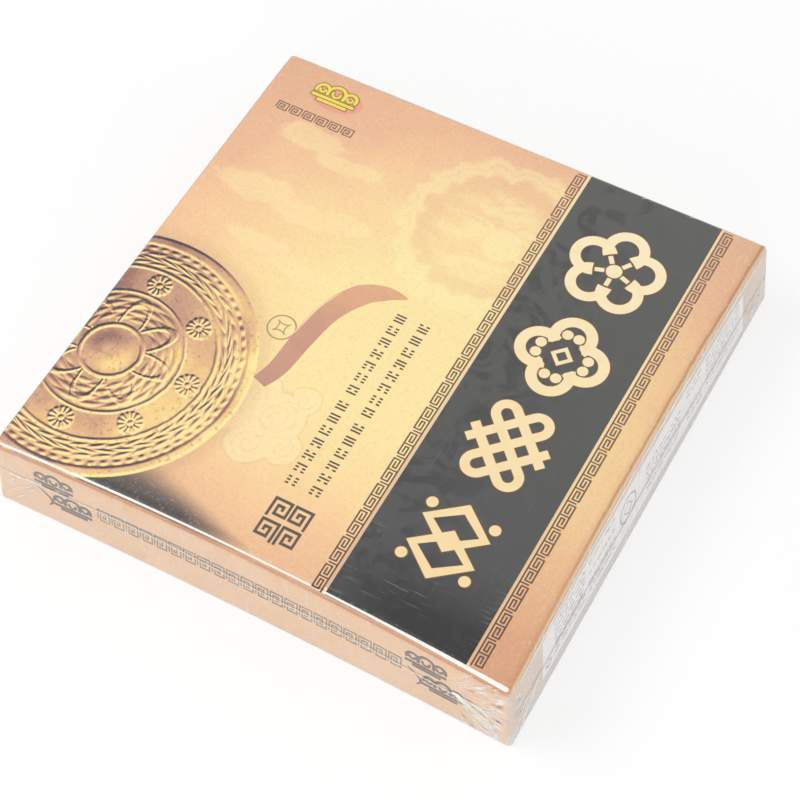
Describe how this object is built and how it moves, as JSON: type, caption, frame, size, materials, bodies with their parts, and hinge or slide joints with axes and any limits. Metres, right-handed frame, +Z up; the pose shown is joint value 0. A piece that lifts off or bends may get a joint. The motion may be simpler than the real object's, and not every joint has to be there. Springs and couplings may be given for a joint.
{
  "type": "board game box",
  "caption": "Flat telescoping board game box in clear shrink film, with a formed tray of round game pieces over a folded playing board.",
  "frame": {"origin": "middle of the underside, on the surface that the box stands on", "axes": "+X to the right along the front edge, +Y from the front to the back, +Z up out of the lid"},
  "size_m": [0.18, 0.1838, 0.0295],
  "materials": {
    "shrink_film": "clear and glossy",
    "printed_paper": "printed and varnished",
    "base_paper": "matte",
    "corner_tape": "matte",
    "grey_board": "matte",
    "playing_board": "matte",
    "tray_sheet": "satin",
    "black_piece_wood": "varnished",
    "red_piece_wood": "varnished"
  },
  "bodies": {
    "base": {"film_base": "shrink_film", "base_wrap": "base_paper", "base_corner_stays": "corner_tape", "base_board": "grey_board", "folded_board": "playing_board", "tray": "tray_sheet", "black_general": "black_piece_wood", "black_advisor_1": "black_piece_wood", "black_advisor_2": "black_piece_wood", "black_elephant_1": "black_piece_wood", "black_elephant_2": "black_piece_wood", "black_horse_1": "black_piece_wood", "black_horse_2": "black_piece_wood", "black_chariot_1": "black_piece_wood", "black_chariot_2": "black_piece_wood", "black_cannon_1": "black_piece_wood", "black_cannon_2": "black_piece_wood", "black_soldier_1": "black_piece_wood", "black_soldier_2": "black_piece_wood", "black_soldier_3": "black_piece_wood", "black_soldier_4": "black_piece_wood", "black_soldier_5": "black_piece_wood", "red_general": "red_piece_wood", "red_advisor_1": "red_piece_wood", "red_advisor_2": "red_piece_wood", "red_elephant_1": "red_piece_wood", "red_elephant_2": "red_piece_wood", "red_horse_1": "red_piece_wood", "red_horse_2": "red_piece_wood", "red_chariot_1": "red_piece_wood", "red_chariot_2": "red_piece_wood", "red_cannon_1": "red_piece_wood", "red_cannon_2": "red_piece_wood", "red_soldier_1": "red_piece_wood", "red_soldier_2": "red_piece_wood", "red_soldier_3": "red_piece_wood", "red_soldier_4": "red_piece_wood", "red_soldier_5": "red_piece_wood"},
    "lid": {"lid_board": "grey_board", "lid_corner_stays": "corner_tape", "lid_wrap": "printed_paper", "film_lid": "shrink_film"}
  },
  "joints": [
    {"name": "lid_lift", "type": "slide", "parent": "base", "child": "lid", "axis": [0, 0, 1], "range_m": [0, 0.06]}
  ]
}
